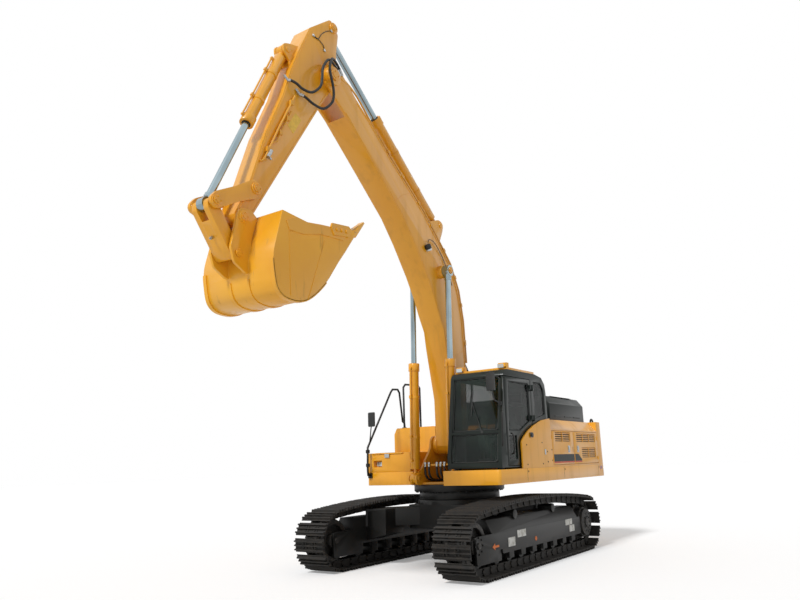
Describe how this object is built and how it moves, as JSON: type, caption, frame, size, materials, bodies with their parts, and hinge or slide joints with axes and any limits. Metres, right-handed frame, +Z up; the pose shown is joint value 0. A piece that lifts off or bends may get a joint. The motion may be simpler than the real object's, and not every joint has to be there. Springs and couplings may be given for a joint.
{
  "type": "crawler excavator",
  "caption": "Crawler excavator with slewing upper body, glazed cab, and hydraulic boom, arm and bucket on steel tracks.",
  "frame": {"origin": "on the ground under the middle of the bounding box in the stored pose, halfway between the tracks", "axes": "+X forward towards the bucket, +Y to the machine's left (cab side), +Z up"},
  "size_m": [9.2364, 3.19, 8.4845],
  "materials": {
    "yellow_paint": "satin warm yellow enamel",
    "black_paint": "satin black enamel",
    "cab_paint": "dark green-black cab enamel",
    "track_steel": "worn steel shoes with dried earth",
    "chrome_rod": "polished hard chrome",
    "black_rubber": "matt black hose rubber",
    "seat_cloth": "dark woven seat cover",
    "tinted_glass": "lightly tinted safety glass",
    "pipe_steel": "grey steel pipe",
    "cab_plastic": "charcoal moulded trim"
  },
  "bodies": {
    "undercarriage": {"track_frame_left": "black_paint", "track_frame_right": "black_paint", "track_left": "track_steel", "track_right": "track_steel", "idler_left": "black_paint", "idler_right": "black_paint", "sprocket_left": "black_paint", "sprocket_right": "black_paint", "car_body": "black_paint", "slew_ring": "black_paint"},
    "upper": {"slew_flange": "black_paint", "revolving_frame": "yellow_paint", "counterweight": "yellow_paint", "engine_cowl": "yellow_paint", "engine": "black_paint", "radiator": "black_paint", "air_cleaner": "black_paint", "swing_drive": "black_paint", "control_valve": "black_paint", "fuel_tank": "yellow_paint", "hydraulic_tank": "yellow_paint", "tool_box": "yellow_paint", "outer_handrail": "black_paint", "inner_handrail": "black_paint", "cab_frame": "cab_paint", "roof_hatch": "cab_paint", "left_glass": "tinted_glass", "right_glass": "tinted_glass", "rear_glass": "tinted_glass", "windscreen": "tinted_glass", "lower_windscreen": "tinted_glass", "seat": "seat_cloth", "cab_console": "cab_plastic", "roof_lamps": "yellow_paint", "cab_mirror": "black_paint", "foot_hose_left": "black_rubber", "foot_hose_right": "black_rubber"},
    "engine_hood": {"engine_hood": "black_paint"},
    "left_door_front": {"left_door_front": "yellow_paint"},
    "left_door_rear": {"left_door_rear": "yellow_paint"},
    "right_door": {"right_door": "yellow_paint"},
    "tool_box_lid": {"tool_box_lid": "yellow_paint"},
    "cab_door": {"cab_door": "cab_paint", "door_glass": "tinted_glass", "lower_door_glass": "tinted_glass"},
    "boom": {"boom": "yellow_paint", "boom_pipes": "pipe_steel"},
    "lift_barrel_left": {"lift_barrel_left": "yellow_paint"},
    "lift_barrel_right": {"lift_barrel_right": "yellow_paint"},
    "lift_rod_left": {"lift_rod_left": "chrome_rod"},
    "lift_rod_right": {"lift_rod_right": "chrome_rod"},
    "arm_barrel": {"arm_barrel": "yellow_paint"},
    "arm_rod": {"arm_rod": "chrome_rod"},
    "arm": {"arm": "yellow_paint"},
    "bucket_barrel": {"bucket_barrel": "yellow_paint"},
    "bucket_rod": {"bucket_rod": "chrome_rod"},
    "tilt_levers": {"tilt_levers": "yellow_paint"},
    "bucket_link": {"bucket_link": "yellow_paint"},
    "bucket": {"bucket": "yellow_paint"}
  },
  "joints": [
    {"name": "swing", "type": "hinge", "parent": "undercarriage", "child": "upper", "pos_m": [-1.17321, 0, 1.15], "axis": [0, 0, 1], "continuous": true},
    {"name": "boom_lift", "type": "hinge", "parent": "upper", "child": "boom", "pos_m": [-0.98321, 0, 1.936], "axis": [0, -1, 0], "range_deg": [-100, 0], "deforming": ["foot_hose_left", "foot_hose_right"]},
    {"name": "arm_swing", "type": "hinge", "parent": "boom", "child": "arm", "pos_m": [2.44524, 0, 7.4312], "axis": [0, 1, 0], "range_deg": [-80, 25]},
    {"name": "bucket_curl", "type": "hinge", "parent": "arm", "child": "bucket", "pos_m": [4.09048, 0, 4.7017], "axis": [0, 1, 0], "range_deg": [-150, 10]},
    {"name": "cab_door_hinge", "type": "hinge", "parent": "upper", "child": "cab_door", "pos_m": [-1.23521, 1.503, 2.3], "axis": [0, 0, -1], "range_deg": [-165, 0]},
    {"name": "left_door_front_hinge", "type": "hinge", "parent": "upper", "child": "left_door_front", "pos_m": [-1.90821, 1.5, 1.8], "axis": [0, 0, -1], "range_deg": [0, 100]},
    {"name": "left_door_rear_hinge", "type": "hinge", "parent": "upper", "child": "left_door_rear", "pos_m": [-4.08821, 1.5, 1.8], "axis": [0, 0, 1], "range_deg": [0, 100]},
    {"name": "right_door_hinge", "type": "hinge", "parent": "upper", "child": "right_door", "pos_m": [-4.08821, -1.5, 1.8], "axis": [0, 0, -1], "range_deg": [0, 100]},
    {"name": "engine_hood_hinge", "type": "hinge", "parent": "upper", "child": "engine_hood", "pos_m": [-4.27321, 0, 2.3203], "axis": [0, -1, 0], "range_deg": [0, 60]},
    {"name": "tool_box_lid_hinge", "type": "hinge", "parent": "upper", "child": "tool_box_lid", "pos_m": [-1.30521, -1.035, 1.825], "axis": [0, -1, 0], "range_deg": [0, 80]},
    {"name": "lift_barrel_left_pivot", "type": "hinge", "parent": "upper", "child": "lift_barrel_left", "pos_m": [-0.37821, 0.378, 1.38], "axis": [0, -1, 0], "range_deg": [-97, 1]},
    {"name": "lift_rod_left_slide", "type": "slide", "parent": "lift_barrel_left", "child": "lift_rod_left", "axis": [-0.0323, 0, 0.9995], "range_m": [-1.31, 0.01]},
    {"name": "lift_barrel_right_pivot", "type": "hinge", "parent": "upper", "child": "lift_barrel_right", "pos_m": [-0.37821, -0.378, 1.38], "axis": [0, -1, 0], "range_deg": [-97, 1]},
    {"name": "lift_rod_right_slide", "type": "slide", "parent": "lift_barrel_right", "child": "lift_rod_right", "axis": [-0.0323, 0, 0.9995], "range_m": [-1.31, 0.01]},
    {"name": "arm_barrel_pivot", "type": "hinge", "parent": "boom", "child": "arm_barrel", "pos_m": [-0.72559, 0, 5.9006], "axis": [0, 1, 0], "range_deg": [-2, 1]},
    {"name": "arm_rod_slide", "type": "slide", "parent": "arm_barrel", "child": "arm_rod", "axis": [0.7747, 0, 0.6323], "range_m": [-1.27, 0.41]},
    {"name": "bucket_barrel_pivot", "type": "hinge", "parent": "arm", "child": "bucket_barrel", "pos_m": [3.23905, 0, 7.54772], "axis": [0, 1, 0], "range_deg": [-9, 1]},
    {"name": "bucket_rod_slide", "type": "slide", "parent": "bucket_barrel", "child": "bucket_rod", "axis": [0.4235, 0, -0.9059], "range_m": [-1.05, 0.09]},
    {"name": "tilt_lever_pivot", "type": "hinge", "parent": "arm", "child": "tilt_levers", "pos_m": [3.89992, 0, 5.13795], "axis": [0, 1, 0], "range_deg": [-96, 7]},
    {"name": "bucket_link_pivot", "type": "hinge", "parent": "bucket", "child": "bucket_link", "pos_m": [4.15476, 0, 4.21152], "axis": [0, 1, 0], "range_deg": [-7, 96]}
  ],
  "couplings": [
    {"joint": "lift_barrel_left_pivot", "follows": "boom_lift", "ratio": 0.9597},
    {"joint": "lift_rod_left_slide", "follows": "boom_lift", "m_per_rad": 0.743},
    {"joint": "lift_barrel_right_pivot", "follows": "boom_lift", "ratio": 0.9597},
    {"joint": "lift_rod_right_slide", "follows": "boom_lift", "m_per_rad": 0.743},
    {"joint": "arm_barrel_pivot", "follows": "arm_swing", "ratio": 0.0175},
    {"joint": "arm_rod_slide", "follows": "arm_swing", "m_per_rad": 0.8973},
    {"joint": "bucket_barrel_pivot", "follows": "bucket_curl", "ratio": 0.0579},
    {"joint": "bucket_rod_slide", "follows": "bucket_curl", "m_per_rad": 0.3935},
    {"joint": "tilt_lever_pivot", "follows": "bucket_curl", "ratio": 0.6357},
    {"joint": "bucket_link_pivot", "follows": "bucket_curl", "ratio": -0.6353}
  ]
}
